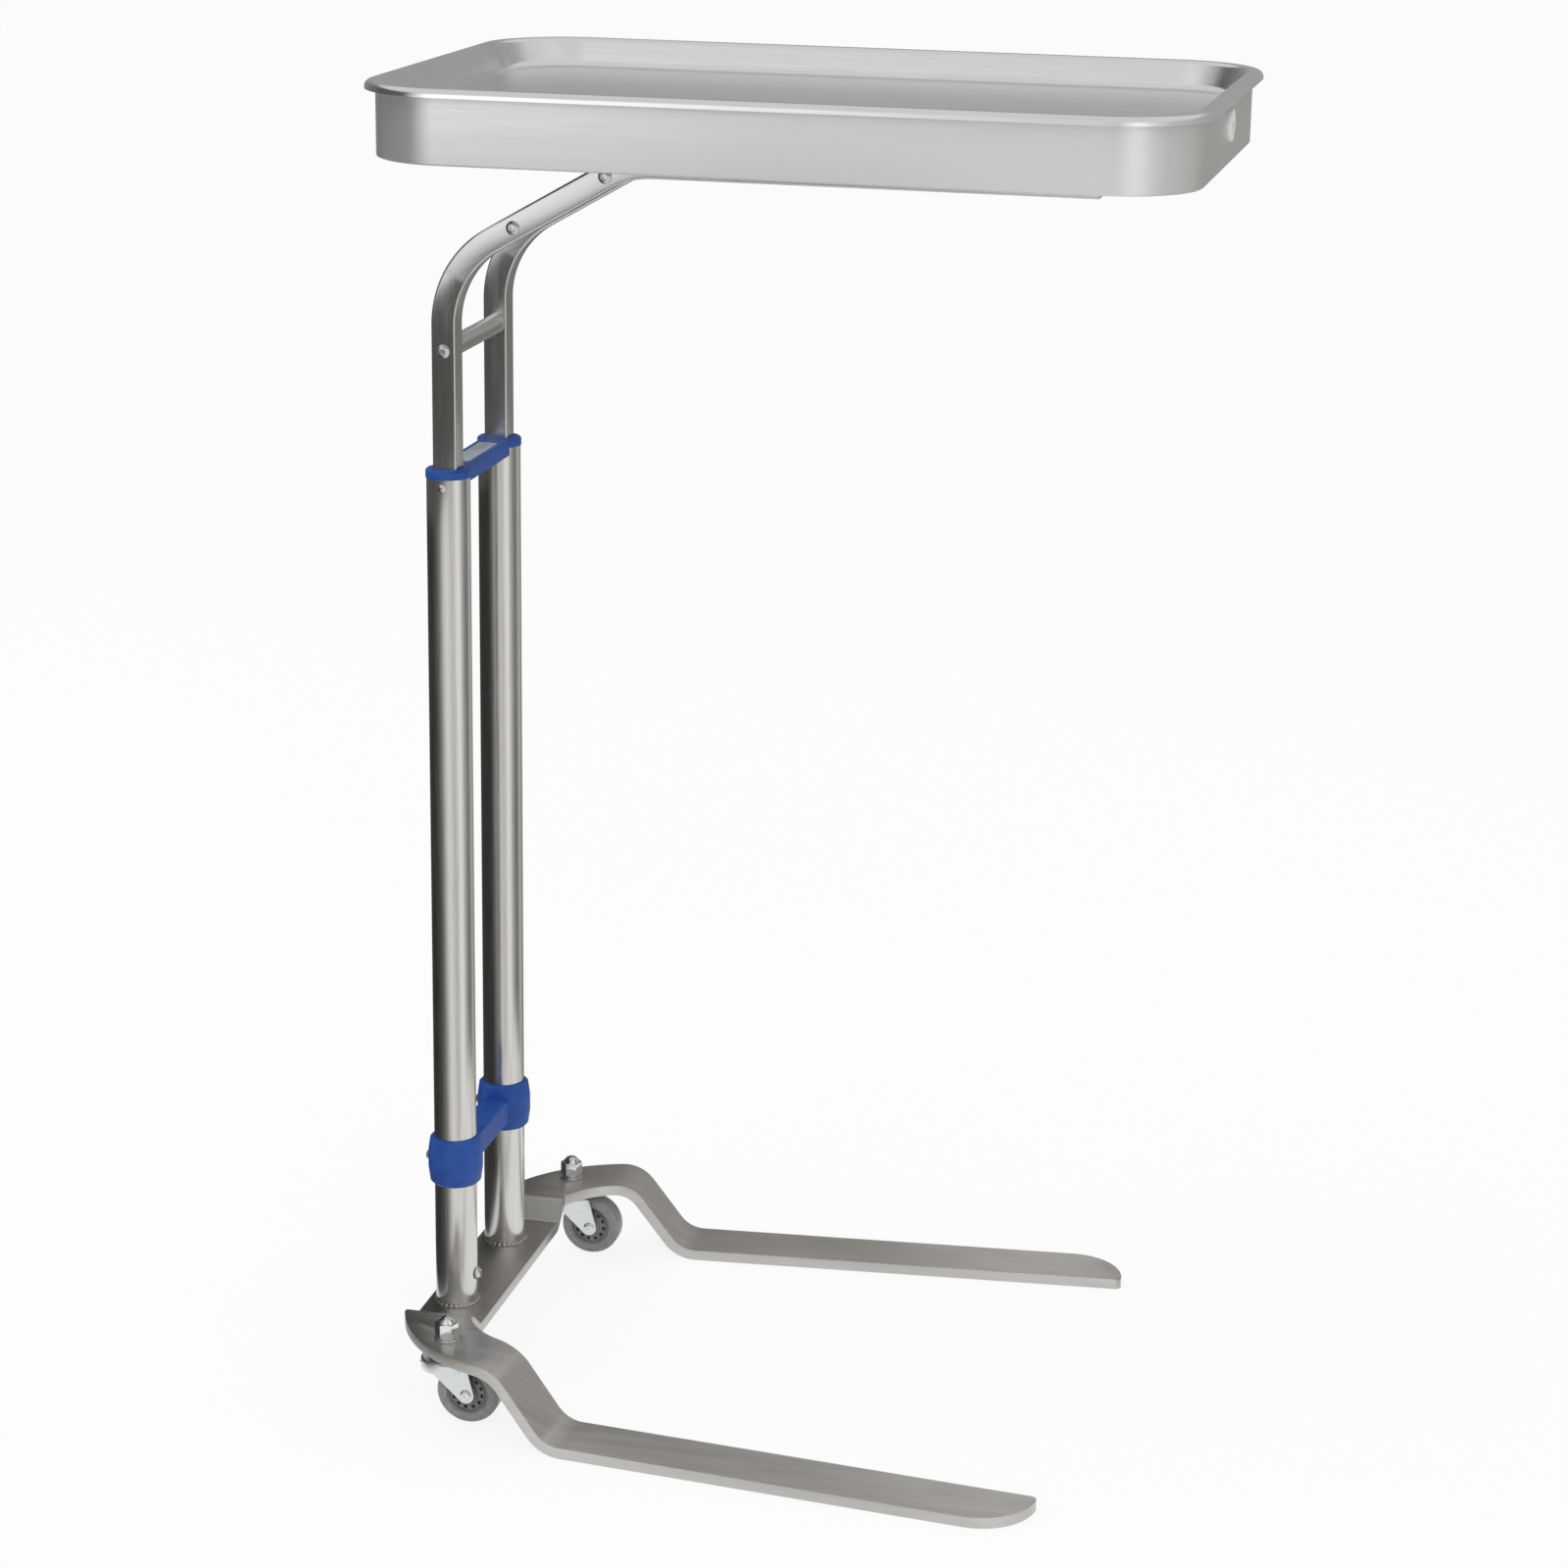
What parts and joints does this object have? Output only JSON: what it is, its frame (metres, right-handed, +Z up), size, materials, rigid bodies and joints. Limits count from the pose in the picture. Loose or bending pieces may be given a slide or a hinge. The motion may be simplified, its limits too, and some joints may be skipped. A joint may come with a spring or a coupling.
{
  "type": "mayo instrument stand",
  "caption": "Double-post instrument stand: a lift-off tray on a band frame, carried by bent square bars that slide in round posts on a U-shaped base with swivel casters.",
  "frame": {"origin": "floor point below the middle of the tray", "axes": "+Z up; +X from the posts towards the free end of the tray; +Y to the left when looking along +X"},
  "size_m": [0.486, 0.3998, 0.8168],
  "materials": {
    "tray_steel": "satin pressed stainless steel",
    "band_steel": "satin stainless steel sheet",
    "bar_steel": "lengthwise brushed stainless steel",
    "post_steel": "lengthwise brushed stainless steel tube",
    "base_steel": "ground stainless steel plate",
    "weld_steel": "bright weld bead",
    "screw_steel": "bright screw",
    "bright_nut": "polished",
    "zinc_steel": "bright zinc plating",
    "white_nylon": "smooth moulded",
    "blue_nylon": "moulded, slightly mottled",
    "pale_inlay": "plain",
    "pad_nylon": "natural moulded",
    "grey_nylon": "moulded",
    "grey_tyre": "soft translucent grey"
  },
  "bodies": {
    "base": {"base_cross_bar": "base_steel", "left_leg": "base_steel", "right_leg": "base_steel", "left_post": "post_steel", "right_post": "post_steel", "post_weld_beads": "weld_steel", "post_cap": "blue_nylon", "cap_inlay": "pale_inlay", "cap_rivets": "screw_steel", "friction_pads": "pad_nylon", "post_collar": "blue_nylon", "collar_screws": "screw_steel", "stop_screw": "screw_steel", "left_caster_stem": "screw_steel", "left_stem_washers": "screw_steel", "left_acorn_nut": "bright_nut", "left_caster_race": "zinc_steel", "right_caster_stem": "screw_steel", "right_stem_washers": "screw_steel", "right_acorn_nut": "bright_nut", "right_caster_race": "zinc_steel"},
    "carrier": {"left_bar": "bar_steel", "right_bar": "bar_steel", "low_cross_rod": "bar_steel", "middle_cross_rod": "bar_steel", "upper_cross_rod": "bar_steel", "left_bar_screws": "screw_steel", "right_bar_screws": "screw_steel", "left_guide_shoe": "pad_nylon", "right_guide_shoe": "pad_nylon", "shoe_screws": "screw_steel", "tray_frame_band": "band_steel", "rear_cross_strap": "band_steel", "front_cross_strap": "band_steel", "rail_screws": "screw_steel", "tray_button": "white_nylon", "tray_button_screw": "screw_steel"},
    "tray": {"instrument_tray": "tray_steel"},
    "left_caster": {"left_caster_fork": "zinc_steel", "left_wheel_axle": "zinc_steel", "left_ball_ring": "zinc_steel"},
    "left_wheel": {"left_wheel_hub": "grey_nylon", "left_wheel_tyre": "grey_tyre", "left_wheel_bush": "pad_nylon"},
    "right_caster": {"right_caster_fork": "zinc_steel", "right_wheel_axle": "zinc_steel", "right_ball_ring": "zinc_steel"},
    "right_wheel": {"right_wheel_hub": "grey_nylon", "right_wheel_tyre": "grey_tyre", "right_wheel_bush": "pad_nylon"}
  },
  "joints": [
    {"name": "carrier_height", "type": "slide", "parent": "base", "child": "carrier", "axis": [0, 0, 1], "range_m": [-0.06, 0.36]},
    {"name": "tray_lift", "type": "slide", "parent": "carrier", "child": "tray", "axis": [0, 0, 1], "range_m": [0, 0.06]},
    {"name": "left_caster_swivel", "type": "hinge", "parent": "base", "child": "left_caster", "pos_m": [-0.195, 0.136, 0.0413], "axis": [0, 0, 1], "continuous": true},
    {"name": "left_wheel_spin", "type": "hinge", "parent": "left_caster", "child": "left_wheel", "pos_m": [-0.18, 0.136, 0.02], "axis": [0, 1, 0], "continuous": true},
    {"name": "right_caster_swivel", "type": "hinge", "parent": "base", "child": "right_caster", "pos_m": [-0.195, -0.136, 0.0413], "axis": [0, 0, 1], "continuous": true},
    {"name": "right_wheel_spin", "type": "hinge", "parent": "right_caster", "child": "right_wheel", "pos_m": [-0.18, -0.136, 0.02], "axis": [0, 1, 0], "continuous": true}
  ]
}
